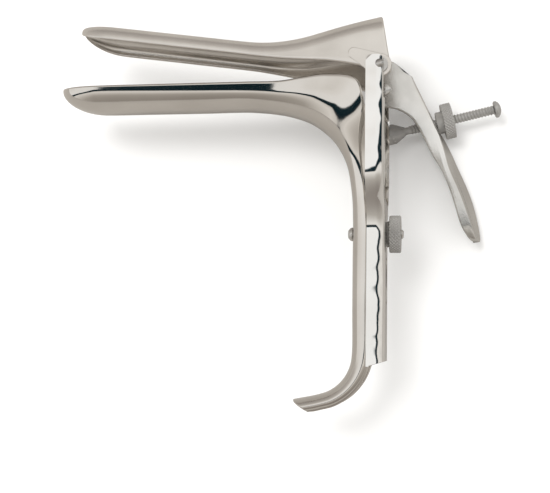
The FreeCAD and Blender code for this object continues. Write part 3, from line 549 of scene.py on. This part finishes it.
PIVOT = (11.0, 60.9)
EAR_ROUND, BOSS, SOFTEN = 4.4, 0.06, 0.25
LUG_BACK, LUG_UP, LUG_TAPER = 2.2, 1.1, 0.5
lug_end = (PIVOT[0] - LUG_BACK * EAR_ROUND, PIVOT[1] + LUG_UP * EAR_ROUND)
lug = round_pair(PIVOT, EAR_ROUND, lug_end, LUG_TAPER * EAR_ROUND)
for name, low in (("far_ear_lug", EAR_HALF - WALL - BOSS), ("near_ear_lug", -EAR_HALF - BOSS)):
    plate(name, lug, low, WALL + 2 * BOSS, SATIN_STEEL, "upper_valve")

# %% [markdown]
# ## Knurls and threads
# The nuts are gripped by a diamond knurl, and the rod and bolt carry screw threads. Both are
# relief on a cylinder: the radius is a function of the angle and of the place along the axis.

# %% Relief on a cylinder
END_RING = 0.9


def turned_relief(name, base, direction, radius, material, body, rows, around):
    """A sleeve round an axis: radius(angle, along) gives its surface at rows of places along it.

    base and direction are drawn, in millimetres. A flat ring leads from each rim to the closed
    end, so that the end shades as a plane.
    """
    direction = np.asarray(direction, float)
    direction = direction / np.linalg.norm(direction)
    side = np.cross(direction, (0.0, 1.0, 0.0))
    if np.linalg.norm(side) < 0.1:
        side = np.cross(direction, (1.0, 0.0, 0.0))
    side = side / np.linalg.norm(side)
    other = np.cross(direction, side)
    angle = np.linspace(0, 2 * np.pi, around, endpoint=False)
    angles, places = np.meshgrid(angle, rows)
    reach = radius(angles, places)
    reach = np.concatenate([reach[:1] * END_RING, reach, reach[-1:] * END_RING])
    angles, places = (np.concatenate([grid[:1], grid, grid[-1:]]) for grid in (angles, places))
    points = (np.asarray(base) + places[..., None] * direction
              + (reach * np.cos(angles))[..., None] * side
              + (reach * np.sin(angles))[..., None] * other)
    return closed_grid(name, placed(points), material, body)


def wave(value):
    """A triangle wave from 0 to 1 and back, once for each whole number."""
    return 1 - np.abs(2 * (value - np.floor(value)) - 1)


# %% Knurls
KNURL_TEETH, KNURL_DEPTH, RIM_CUT = 34, 0.5, 0.35
# the sleeve stands proud of the nut's faces, and its grooves lie a little inside its rim
PROUD, KNURL_SINK = 0.03, 0.02
ROD_PIVOT_X, ROD_PIVOT_Z, ROD_RISE = 9.2, 42.9, math.radians(13.0)
nut_middle = low_and_middle(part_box("tilt_nut"))[1]
ROD_Y = OFFSET[2] - nut_middle[2]
ROD_PIVOT = np.array([ROD_PIVOT_X, ROD_Y, ROD_PIVOT_Z])
ROD_LINE = np.array([math.cos(ROD_RISE), 0.0, math.sin(ROD_RISE)])
NUT_AT, HUB, KNURL_LENGTH, KNURL_R = 23.2, 2.6, 4.1, 6.9
LOCK_X, COLLAR, LOCK_LENGTH, LOCK_R = 12.9, 1.1, 4.3, 6.8
KNURLS = (("tilt_nut_knurl", ROD_PIVOT + ROD_LINE * (NUT_AT + HUB - PROUD), ROD_LINE,
           KNURL_LENGTH, KNURL_R, "nut_on_rod"),
          ("lock_nut_knurl", (LOCK_X + COLLAR - PROUD, 0, 0), (1, 0, 0),
           LOCK_LENGTH, LOCK_R, "nut_on_bolt"))


def knurl(length, radius):
    """Radius of a diamond knurl: the lower of two crossed triangle waves, cut back at both rims."""
    def reach(angle, along):
        turns = angle / (2 * np.pi) * KNURL_TEETH
        slant = along / (2 * np.pi * radius) * KNURL_TEETH
        relief = np.minimum(wave(turns + slant), wave(turns - slant))
        rim = np.clip(np.minimum(along, length - along) / RIM_CUT, 0, 1)
        return radius + KNURL_DEPTH * relief - RIM_CUT * (1 - rim) ** 2
    return reach


for name, base, direction, length, radius, body in KNURLS:
    length += 2 * PROUD
    turned_relief(name, base, direction, knurl(length, radius - KNURL_SINK), KNURL_STEEL, body,
                  rows=np.linspace(0, length, 33), around=624)

# %% Threads
ROD_PITCH, ROD_THREAD_R, ROD_GROOVE, THREAD_FROM, THREAD_TO = 1.25, 1.86, 0.36, 11.5, 46.6
BOLT_PITCH, BOLT_THREAD_R, BOLT_GROOVE, BOLT_FROM, BOLT_LENGTH = 0.8, 1.86, 0.17, 13.2, 5.6
STEEPNESS, CREST = 1.3, 0.8


def thread(pitch, radius, depth):
    """Radius of a V thread with flat crests, which fades in over its first pitch.

    The triangle wave's phase moves one turn for each pitch: wave(along / pitch - angle / 2 pi).
    """
    def reach(angle, along):
        turns = along / pitch - angle / (2 * np.pi)
        fade = np.clip(along / pitch, 0, 1)
        return radius - depth + depth * STEEPNESS * fade * np.clip(wave(turns), 0, CREST)
    return reach


turned_relief("rod_thread", ROD_PIVOT + ROD_LINE * THREAD_FROM, ROD_LINE,
              thread(ROD_PITCH, ROD_THREAD_R, ROD_GROOVE), KNURL_STEEL, "rod",
              rows=np.linspace(0, THREAD_TO - THREAD_FROM, 520), around=40)
turned_relief("bolt_thread", (BOLT_FROM, 0, 0), (1, 0, 0),
              thread(BOLT_PITCH, BOLT_THREAD_R, BOLT_GROOVE), SCREW_STEEL, "lower_valve",
              rows=np.linspace(0, BOLT_LENGTH, 80), around=40)

# %% [markdown]
# ## The thumb lever
# One strip of sheet again, but bent along its length: a flat web by the pivot is folded over at
# its outer edge into a pad, and below the rod the whole section turns until the thumb finds the
# pad square to it. A row of the grid is one section: web, fold, pad, fold, lip.

# %% Stations of the thumb lever
LEVER_WALL, LEVER_GAP, FOLD, PAD, LEAST_LIP = 1.5, 0.25, 1.8, 15.2, 0.1
LEVER_LOW = EAR_HALF - WALL - BOSS - LEVER_GAP - LEVER_WALL
# a fold takes no more than these shares of the web and of the pad
WEB_SHARE, PAD_SHARE = 0.8, 0.45
# below this height the pad narrows from both sides
ROUNDED_BELOW = 20.0
# points along the web, round a fold, across the pad, down the lip and round an edge
WEB_STEPS, FOLD_STEPS, PAD_STEPS, LIP_STEPS, EDGE_STEPS = 13, 9, 20, 3, 5
# near corner x, z; web's free edge x, z; pad width; turn in degrees; lip depth; dish
LEVER = ((22.2, 66.1, 18.6, 68.2, 5.22, 0.0, 2.6, 0.0), (22.5, 65.3, 14.4, 72.3, 5.98, 0.0, 2.8, 0.0),
         (22.9, 64.4, 8.4, 71.2, 6.65, 0.0, 2.9, 0.0), (23.4, 63.3, 5.6, 65.0, 7.79, 0.0, 3.0, 0.0),
         (24.4, 61.2, 6.6, 58.6, 9.5, 0.0, 3.1, 0.0),
         (25.9, 58.0, 11.0, 54.6, 11.21, 0.0, 3.2, 0.0), (27.7, 54.1, 16.6, 53.0, 12.73, 0.5, 3.2, 0.0),
         (29.5, 50.2, 21.8, 49.8, 13.87, 2.0, 3.2, 0.0), (31.1, 46.6, 24.6, 46.0, 14.63, 4.5, 3.2, 0.0),
         (32.7, 42.6, 27.0, 41.4, 15.11, 8.5, 3.2, 0.0), (34.6, 36.0, 30.2, 34.6, 15.2, 14.0, 3.2, 0.1),
         (36.4, 28.8, 34.0, 27.9, 15.2, 19.0, 3.2, 0.3), (40.1, 19.9, 37.6, 18.9, 15.2, 19.5, 3.2, 0.6),
         (42.5, 13.6, 39.5, 12.6, 15.2, 18.5, 3.2, 0.8), (44.2, 8.4, 40.9, 7.6, 14.63, 17.0, 3.1, 0.8),
         (45.3, 4.6, 42.2, 4.2, 13.68, 16.0, 3.0, 0.7), (45.9, 2.0, 43.4, 1.9, 11.78, 16.0, 2.8, 0.6),
         (46.2, 0.4, 44.2, 0.4, 9.31, 16.0, 2.5, 0.4), (46.3, -0.4, 44.9, -0.4, 6.08, 16.0, 2.2, 0.0))


# %% Thumb lever
def unit(vectors):
    """Vectors divided by their own length."""
    return vectors / np.linalg.norm(vectors, axis=-1, keepdims=True)


def lever_points(stations, count):
    """Scene points round the lever's wall, shaped (along, round).

    The outside of a section is a polyline with two quarter-circle folds,
    P(a) = N + l r (1 - sin a) + s r (1 - cos a), from the web's direction l to the pad's s. The
    pad is dished by sin^2. The inside lies one wall along the section's own normals; half
    circles close both free edges.
    """
    rows = smooth_through(stations, count)
    corner = np.stack([rows[:, 0], np.full(count, LEVER_LOW), rows[:, 1]], axis=-1)
    edge = np.stack([rows[:, 2], np.full(count, LEVER_LOW), rows[:, 3]], axis=-1)
    width, lip, dish = rows[:, 4], rows[:, 6], rows[:, 7]
    turn = np.radians(rows[:, 5])[:, None]
    aside = np.where(corner[:, 2] < ROUNDED_BELOW, (PAD - width) / 2, 0)[:, None]
    along = unit(np.gradient(corner, axis=0))
    across = np.array([0.0, 1.0, 0.0])
    outward = unit(np.cross(across, along))
    outward = outward * np.sign(outward[:, :1])
    side = across * np.cos(turn) + outward * np.sin(turn)
    inward = across * np.sin(turn) - outward * np.cos(turn)
    reach = np.linalg.norm(edge - corner, axis=1)
    web = unit((edge - corner) * np.cos(turn) + across * reach[:, None] * np.sin(turn))
    corner = corner + side * aside
    fold = np.minimum(FOLD, np.minimum(reach * WEB_SHARE, width * PAD_SHARE))

    def from_corner(first, distance, second, depth):
        """Points at a distance along one direction from the corner and at a depth along another."""
        return corner[:, None] + first[:, None] * distance[..., None] + second[:, None] * depth[..., None]

    def fan(start, end, turns):
        """Directions that turn from start towards end."""
        return start[:, None] * np.cos(turns)[:, None] + end[:, None] * np.sin(turns)[:, None]

    def close_edge(start, end, heading):
        """A half circle from the outside to the inside round a free edge."""
        middle = (start + end) / 2
        return (middle[:, None] + (start - middle)[:, None] * np.cos(bead)
                + heading[:, None] * LEVER_WALL / 2 * np.sin(bead))

    angle = np.linspace(0, np.pi / 2, FOLD_STEPS)
    bead = np.linspace(0, np.pi, EDGE_STEPS + 2)[1:-1, None]
    sine_left, cosine_left = fold[:, None] * (1 - np.sin(angle)), fold[:, None] * (1 - np.cos(angle))
    out_web = fold[:, None] + (reach - fold)[:, None] * np.linspace(1, 0, WEB_STEPS + 1)[:-1]
    steps = np.linspace(0, 1, PAD_STEPS + 2)[1:-1]
    over_pad = fold[:, None] + (width - 2 * fold)[:, None] * steps
    down_lip = np.maximum(lip - fold, LEAST_LIP)[:, None] * np.linspace(0, 1, LIP_STEPS + 1)[1:]
    at_lip = np.repeat(width[:, None], LIP_STEPS, axis=1)
    outside = np.concatenate([
        from_corner(web, out_web, side, np.zeros_like(out_web)),
        from_corner(web, sine_left, side, cosine_left),
        from_corner(side, over_pad, inward, dish[:, None] * np.sin(np.pi * steps) ** 2),
        from_corner(side, width[:, None] - sine_left, inward, cosine_left),
        from_corner(side, at_lip, inward, fold[:, None] + down_lip)], axis=1)
    normal = np.concatenate([
        fan(side, inward, np.zeros(WEB_STEPS)), fan(side, inward, angle),
        fan(inward, inward, np.zeros(PAD_STEPS)), fan(inward, -side, angle),
        fan(-side, -side, np.zeros(LIP_STEPS))], axis=1)
    inside = outside + unit(normal) * LEVER_WALL
    lip_end = close_edge(outside[:, -1], inside[:, -1], inward)
    web_end = close_edge(inside[:, 0], outside[:, 0], web)
    return placed(np.concatenate([outside, lip_end, inside[:, ::-1], web_end], axis=1))


lever = closed_grid("thumb_lever_sheet", lever_points(LEVER, 150), LEVER_STEEL,
                    "upper_valve")
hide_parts("thumb_lever")

# %% [markdown]
# ## The slot that the rod passes through
# The rod swings a little as the blade tilts, so its hole in the lever is a slot with round ends.
# A prism of that outline is subtracted from the sheet, and the result is kept as its mesh.

# %% Slots
CUT_DEEP, END_STEPS, CUT_SHARP = 6.0, 20, 35
SLOT_X, SLOT_Z, SLOT_LEAN, SLOT_HALF, SLOT_REACH = 30.9, 47.9, math.radians(24.9), 2.1, 4.4


def cut_slot(piece, centre, axis, along, half, reach):
    """Cuts a slot through a piece: half circles of radius half, at reach either way along it."""
    axis, along = unit(np.array(axis, float)), unit(np.array(along, float))
    across = np.cross(axis, along)
    ends = []
    for sign, start in ((1, 0.0), (-1, np.pi)):
        turn = np.linspace(start - np.pi / 2, start + np.pi / 2, END_STEPS)[:, None]
        ends.append(sign * reach * along + half * (np.cos(turn) * along + np.sin(turn) * across))
    outline = np.concatenate(ends) + centre
    shape = prism("slot_cutter", placed(outline - CUT_DEEP * axis), placed(outline + CUT_DEEP * axis))
    cutter = bpy.data.objects.new("slot_cutter", shape)
    scene.collection.objects.link(cutter)
    cut = piece.modifiers.new("slot", "BOOLEAN")
    cut.operation, cut.object, cut.solver = "DIFFERENCE", cutter, "EXACT"
    bpy.context.view_layer.update()
    evaluated = piece.evaluated_get(bpy.context.evaluated_depsgraph_get())
    result = bpy.data.meshes.new_from_object(evaluated)
    piece.modifiers.clear()
    piece.data = result
    bpy.data.objects.remove(cutter)
    result.set_sharp_from_angle(angle=math.radians(CUT_SHARP))
    print("%-18s %6d faces with its slot" % (piece.name, len(result.polygons)))


cut_slot(lever, np.array([SLOT_X, ROD_Y, SLOT_Z]), (math.cos(SLOT_LEAN), 0, math.sin(SLOT_LEAN)),
         (math.sin(SLOT_LEAN), 0, -math.cos(SLOT_LEAN)), SLOT_HALF, SLOT_REACH)

# %% [markdown]
# ## Solids that are already right
# The frame and the turned pieces have their shapes in the solids. Their meshes are loose
# triangles, so a merged copy takes their place: it shades smoothly over its bends and stays crisp
# at its edges. In the picture the frame's arms bend lower than in its solid, so the frame's copy
# is slid down the handle there, and not at all at its pivots and its foot.

# %% Merged copies of solids
SHARP_EDGE, SAME_POINT = 32, 1e-6
SPLAY_DROP = 13.0
SPLAY_TOP, SPLAY_TOP_FADE = 41.0, 8.0
SPLAY_FOOT, SPLAY_FOOT_FADE = -22.0, 32.0


def lower_splay(points):
    """Slides the arms' bends down the handle by up to SPLAY_DROP, fading out above and below."""
    height = points[:, 1] / MM - OFFSET[1]
    fade = smooth((SPLAY_TOP - height) / SPLAY_TOP_FADE) * smooth((height - SPLAY_FOOT) / SPLAY_FOOT_FADE)
    moved = points.copy()
    moved[:, 1] -= SPLAY_DROP * fade * MM
    return moved


def dressed(node, material, body, reshape=None):
    """A copy of a solid's mesh, merged, smooth up to the sharp angle; reshape moves its points."""
    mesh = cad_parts[node].data.copy()
    mesh.transform(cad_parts[node].matrix_world)
    mesh.materials.clear()
    if reshape:
        points = np.empty(len(mesh.vertices) * 3, np.float32)
        mesh.vertices.foreach_get("co", points)
        mesh.vertices.foreach_set("co", reshape(points.reshape(-1, 3)).astype(np.float32).ravel())
    cleaned(mesh, merge=SAME_POINT)
    piece = finish_piece(node + "_dressed", mesh, material, body, sharp=SHARP_EDGE)
    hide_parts(node)
    return piece


SCREWS = ("near_pivot_screw", "far_pivot_screw", "near_pivot_washer", "far_pivot_washer",
          "rod_pivot_rivet")
dressed("frame", FRAME_STEEL, "slide_frame", reshape=lower_splay)
dressed("adjusting_rod", KNURL_STEEL, "rod")
dressed("rod_stop", KNURL_STEEL, "rod")
dressed("tilt_nut", KNURL_STEEL, "nut_on_rod")
dressed("lock_nut", KNURL_STEEL, "nut_on_bolt")
dressed("lock_bolt", SCREW_STEEL, "lower_valve")
for node in SCREWS:
    dressed(node, SCREW_STEEL, "slide_frame")

# %% [markdown]
# ## The slotted end of the far pivot screw
# Above the lever's web the far screw shows a low dome with a slot for a driver. It is a turned
# form like the nuts, so the same sleeve makes it, and the same cutter makes its slot.

# %% Slotted end of the far pivot screw
HEAD_R, HEAD_HIGH, HEAD_SINK, HEAD_STEPS, HEAD_LEAST = 2.6, 0.9, 0.1, 12, 0.02
DRIVER_HALF, DRIVER_REACH, DRIVER_DEEP = 0.38, 3.0, 0.75


def domed(angle, along):
    """Radius of a low dome: R sqrt(1 - (along / height)^4), the same at every angle."""
    return HEAD_R * np.sqrt(np.clip(1 - (along / (HEAD_HIGH + HEAD_SINK)) ** 4, HEAD_LEAST, 1))


head = turned_relief("far_screw_head", (PIVOT[0], LEVER_LOW + HEAD_SINK, PIVOT[1]), (0, -1, 0), domed,
                     SCREW_STEEL, "slide_frame",
                     rows=np.linspace(0, 1, HEAD_STEPS) * HEAD_HIGH, around=48)
driver = np.array([PIVOT[0], LEVER_LOW - HEAD_HIGH + DRIVER_DEEP - CUT_DEEP, PIVOT[1]])
cut_slot(head, driver, (0, 1, 0), (0, 0, 1), DRIVER_HALF, DRIVER_REACH)

# %% [markdown]
# ## A white table and a soft sky
# Steel has hardly any colour of its own: it shows what stands round it. In the picture it is
# white where it faces the window at the upper left, grey where it faces the ceiling, and between
# them runs a thin dark line. The world is painted with bands of those tones, by direction, and
# only mirroring rays see them: the table and the shadows are lit by one even white. In the steel
# the table is darker than it is to the eye, as in the picture: that is painted shade, standing for
# the instrument's own shadow and the room's dark side falling on the table.

# %% Table
TABLE_GAP, TABLE_SIZE = 0.0005, 6.0
bpy.ops.mesh.primitive_plane_add(size=TABLE_SIZE, location=(0, 0, CAD_BOX[0][2] - TABLE_GAP))
floor = bpy.context.object
floor.name = "table"
floor_material = bpy.data.materials.new("white_table")
floor_material.use_nodes = True
floor_shader = floor_material.node_tree.nodes["Principled BSDF"]
# Rays mirrored off the steel see the table in a dark beige: painted shade for the instrument's own shadow
# and the room's dark side on the table
mirrored = Sock(floor_material.node_tree).out("ShaderNodeLightPath", "Is Glossy Ray")
mirrored.blend((0.975, 0.97, 0.96), (0.46, 0.435, 0.405)).into(floor_shader, "Base Color")
floor_shader.inputs["Roughness"].default_value = 0.6
floor_shader.inputs["Specular IOR Level"].default_value = 0.2
floor.data.materials.append(floor_material)
print("table", round(CAD_BOX[0][2] - TABLE_GAP, 5), "m high")

# %% Sky
BANDS = ((0.00, (0.28, 0.25, 0.225, 1)), (0.22, (0.48, 0.45, 0.41, 1)), (0.39, (0.88, 0.85, 0.81, 1)),
         (0.425, (0.78, 0.755, 0.72, 1)), (0.434, (0.006, 0.016, 0.022, 1)),
         (0.484, (0.008, 0.024, 0.032, 1)), (0.494, (1.0, 1.0, 0.99, 1)), (0.60, (1.0, 0.99, 0.975, 1)),
         (0.68, (0.92, 0.90, 0.87, 1)), (0.78, (0.62, 0.59, 0.56, 1)), (1.00, (0.42, 0.395, 0.37, 1)))
EVEN_WHITE = (0.97, 0.965, 0.955)
TOWARDS_Y, TOWARDS_X = 0.95, 0.30
world = bpy.data.worlds.new("soft_sky")
scene.world = world
world.use_nodes = True
sky = world.node_tree
paint = Sock(sky)
parts = paint.node("ShaderNodeSeparateXYZ", None, {0: paint.out("ShaderNodeTexCoord", "Generated")})
across_sky = Sock(sky, parts.outputs["Y"]) * TOWARDS_Y - Sock(sky, parts.outputs["X"]) * TOWARDS_X
bands = paint.out("ShaderNodeValToRGB", "Color", {"stops": BANDS}, {"Fac": across_sky * 0.5 + 0.5})
background = sky.nodes["Background"]
paint.out("ShaderNodeLightPath", "Is Glossy Ray").blend(EVEN_WHITE, bands).into(background, "Color")
background.inputs["Strength"].default_value = 1.0
print("sky:", len(BANDS), "stops")

# %% [markdown]
# ## The window's light
# One soft lamp stands in for the window: it gives the shadows their side. The steel doesn't
# mirror it, because its hard square would burn out the polished faces, which already mirror the
# painted sky.

# %% Lamp
LAMP_AT, LAMP_AIM, LAMP_WIDTH, LAMP_POWER = (-0.26, 0.30, 1.1), (0, 0, 0.02), 0.42, 5.0
window_light = bpy.data.lights.new("window", "AREA")
window_light.shape, window_light.size, window_light.energy = "SQUARE", LAMP_WIDTH, LAMP_POWER
window = bpy.data.objects.new("window", window_light)
window.location = LAMP_AT
window.rotation_euler = (Vector(LAMP_AIM) - Vector(LAMP_AT)).to_track_quat("-Z", "Y").to_euler()
window.visible_glossy = False
scene.collection.objects.link(window)
print("lamp", LAMP_WIDTH, "m wide,", LAMP_POWER, "W")

# %% [markdown]
# ## The solids' box
# The box round the solids is written down at the end.
# The dressed model must be as large as its solids. Both boxes are written down side by side.

# %% Print the solids' box
print("CAD box", [[round(float(v), 4) for v in corner] for corner in CAD_BOX])
